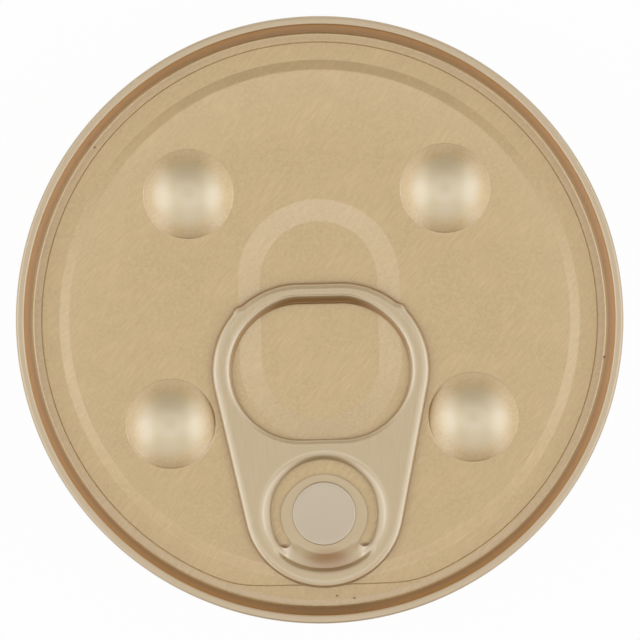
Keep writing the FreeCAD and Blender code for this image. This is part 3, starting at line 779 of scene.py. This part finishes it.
for vertex in bar.data.vertices:
    x, y = vertex.co.x / mm, vertex.co.y / mm - rivet_y
    radius = math.hypot(x, y)
    if radius < slot_middle:
        narrowing = 1 - island_trim * ramp(y / radius, 0.0, 1.0) / radius
        vertex.co.x *= narrowing
        vertex.co.y = (rivet_y + y * narrowing) * mm
cutters = [bar]
for side in (1, -1):
    angle = math.radians(90.0 - side * slot_end)
    pin_x, pin_y = slot_middle * math.cos(angle), rivet_y + slot_middle * math.sin(angle)
    bpy.ops.object.select_all(action="DESELECT")
    bpy.ops.mesh.primitive_cylinder_add(
        vertices=48, radius=slot_half * mm, depth=(bar_top - bar_bottom) * mm,
        location=(pin_x * mm, pin_y * mm, (bar_top + bar_bottom) / 2 * mm))
    cutters.append(bpy.context.object)
for cutter in cutters:
    bpy.context.view_layer.objects.active = cutter
    bpy.ops.object.mode_set(mode="EDIT")
    bpy.ops.mesh.select_all(action="SELECT")
    bpy.ops.mesh.normals_make_consistent(inside=False)
    bpy.ops.object.mode_set(mode="OBJECT")
    finish_modifier(ring_pull, "BOOLEAN", object=cutter, operation="DIFFERENCE", solver="EXACT")
    bpy.data.objects.remove(cutter)
close_up(ring_pull, 40)

# Painted brown shade lies on the turned-down sides of the edges, but not on the dish, and a
# painted brown reflection lies on the tongue below the rivet.
dark_sheet, light_sheet = (0.53, 0.395, 0.205, 1), (0.60, 0.455, 0.245, 1)
# Painted brown shade on the turned-down sides of the curled edges.
painted_side_shade = (0.42, 0.23, 0.07, 1)
dish_gold = (0.565, 0.425, 0.225, 1)
# A painted brown reflection on the tongue below the rivet.
painted_tongue_reflection = (0.42, 0.24, 0.09, 1)
tab_metal = bright_sheet("tab_metal", 0.25, dark_sheet, light_sheet)
tinted(tab_metal, height_on(tab_metal), tab_top - 0.25, tab_top - 0.6, painted_side_shade)
tinted(tab_metal, distance_to(tab_metal, 0, rivet_y, 1), 8.1, 7.9, dish_gold)
tinted(tab_metal, distance_to(tab_metal, 0.4, nose_y - 6.0, 2.2), 1.8, 0.4, painted_tongue_reflection)
ring_pull.data.materials.append(tab_metal)
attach(ring_pull, "root")
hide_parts("ring_tab")

# ------------------------------------------------------------------ floor
# A plain pale floor.  It is seen as white behind the can and in what mirrors it, and it still
# takes a little of the can's shadow.

white_share = 0.96
bpy.ops.object.select_all(action="DESELECT")
bpy.ops.mesh.primitive_plane_add(size=8.0, location=(0, 0, -0.00002))
floor = bpy.context.object
floor.name = "floor"
floor_paint = bpy.data.materials.new("floor_paint")
floor_paint.use_nodes = True
nodes, links = floor_paint.node_tree.nodes, floor_paint.node_tree.links
paint = nodes["Principled BSDF"]
paint.inputs["Base Color"].default_value = (0.86, 0.86, 0.86, 1)
paint.inputs["Roughness"].default_value = 0.9
white = nodes.new("ShaderNodeEmission")
white.inputs["Strength"].default_value = 1.0
path = nodes.new("ShaderNodeLightPath")
seen = path.outputs["Is Camera Ray"]
for ray in ("Is Glossy Ray", "Is Transmission Ray"):
    either = nodes.new("ShaderNodeMath")
    either.operation = "MAXIMUM"
    links.new(seen, either.inputs[0])
    links.new(path.outputs[ray], either.inputs[1])
    seen = either.outputs["Value"]
share = nodes.new("ShaderNodeMath")
share.operation = "MULTIPLY"
share.inputs[1].default_value = white_share
links.new(seen, share.inputs[0])
blend = nodes.new("ShaderNodeMixShader")
links.new(share.outputs["Value"], blend.inputs["Fac"])
links.new(paint.outputs["BSDF"], blend.inputs[1])
links.new(white.outputs["Emission"], blend.inputs[2])
links.new(blend.outputs["Shader"], nodes["Material Output"].inputs["Surface"])
floor.data.materials.append(floor_paint)

# ------------------------------------------------------------------ light
# The can stands in a tent of pale cloth.  Two long panels of light hang over its left and
# right side, a smaller one over the nose, and the tent is dimmer beyond the ring.

world = bpy.data.worlds.new("tent")
bpy.context.scene.world = world
world.use_nodes = True
nodes, links = world.node_tree.nodes, world.node_tree.links
background = nodes["Background"]
parts = nodes.new("ShaderNodeSeparateXYZ")
links.new(nodes.new("ShaderNodeTexCoord").outputs["Generated"], parts.inputs["Vector"])
sideways = nodes.new("ShaderNodeMath")
sideways.operation = "ABSOLUTE"
links.new(parts.outputs["X"], sideways.inputs[0])
either_side = nodes.new("ShaderNodeCombineXYZ")
links.new(sideways.outputs["Value"], either_side.inputs["X"])
links.new(parts.outputs["Y"], either_side.inputs["Y"])
links.new(parts.outputs["Z"], either_side.inputs["Z"])


def panel_of_light(tilt, bearing, reach, strength, below):
    """Add a soft round patch of light to what is below it: tilt degrees off straight up,
    towards the bearing on both sides of the can, reach degrees to its rim."""
    tilt, bearing = math.radians(tilt), math.radians(bearing)
    facing = nodes.new("ShaderNodeVectorMath")
    facing.operation = "DOT_PRODUCT"
    facing.inputs[1].default_value = (math.sin(tilt) * math.cos(bearing),
                                      math.sin(tilt) * math.sin(bearing), math.cos(tilt))
    links.new(either_side.outputs["Vector"], facing.inputs[0])
    patch = nodes.new("ShaderNodeMapRange")
    patch.interpolation_type = "SMOOTHSTEP"
    patch.inputs["From Min"].default_value = math.cos(math.radians(reach))
    patch.inputs["From Max"].default_value = 1.0
    links.new(facing.outputs["Value"], patch.inputs["Value"])
    total = nodes.new("ShaderNodeMath")
    total.operation = "MULTIPLY_ADD"
    total.inputs[1].default_value = strength
    links.new(patch.outputs["Result"], total.inputs[0])
    links.new(below, total.inputs[2])
    return total.outputs["Value"]


cloth = nodes.new("ShaderNodeValue")
cloth.outputs["Value"].default_value = 0.2
light_level = cloth.outputs["Value"]
for tilt, bearing, reach, strength in [
    (0, 0, 20, 1.35),        # the open top, with a dark spot in its middle
    (0, 0, 9, -1.4),
    (30, -10, 17, 1.7),      # the long panels, in three lengths
    (38, -40, 17, 0.8),
    (33, 24, 17, 1.1),
    (14, -90, 16, 0.4),      # over the nose
    (36, -90, 22, 0.75),
    (60, 90, 28, 0.9),       # the tent's walls
    (59, 45, 28, 0.95),
    (59, -45, 28, 1.0),
    (64, 0, 30, 1.1),
]:
    light_level = panel_of_light(tilt, bearing, reach, strength, light_level)
links.new(light_level, background.inputs["Strength"])

# Dim light is a little warm, and bright light a little cool.
warm, cool = (1.08, 0.94, 0.78, 1), (0.92, 0.98, 1.08, 1)
glow = nodes.new("ShaderNodeMath")
glow.operation = "MULTIPLY"
glow.inputs[1].default_value = 0.6
links.new(light_level, glow.inputs[0])
warmth = nodes.new("ShaderNodeMix")
warmth.data_type = "RGBA"
warmth.inputs["A"].default_value = warm
warmth.inputs["B"].default_value = cool
links.new(glow.outputs["Value"], warmth.inputs["Factor"])
links.new(warmth.outputs["Result"], background.inputs["Color"])

# ------------------------------------------------------------------ camera
# Straight above the can, far off with a long lens, a hair off its axis and turned a little
# about it.

camera_height = 2.5
camera_turn = -1.35
view_half_width = 35.96 * mm
camera_data = bpy.data.cameras.new("camera")
camera_data.lens = camera_data.sensor_width / 2 * camera_height / view_half_width
camera_data.clip_end = 20.0
camera = bpy.data.objects.new("camera", camera_data)
camera.location = (0.04 * mm, -0.02 * mm, can_height * mm + camera_height)
camera.rotation_euler = (0, 0, math.radians(camera_turn))
bpy.context.collection.objects.link(camera)
bpy.context.scene.camera = camera
bpy.context.scene.view_settings.view_transform = "Standard"
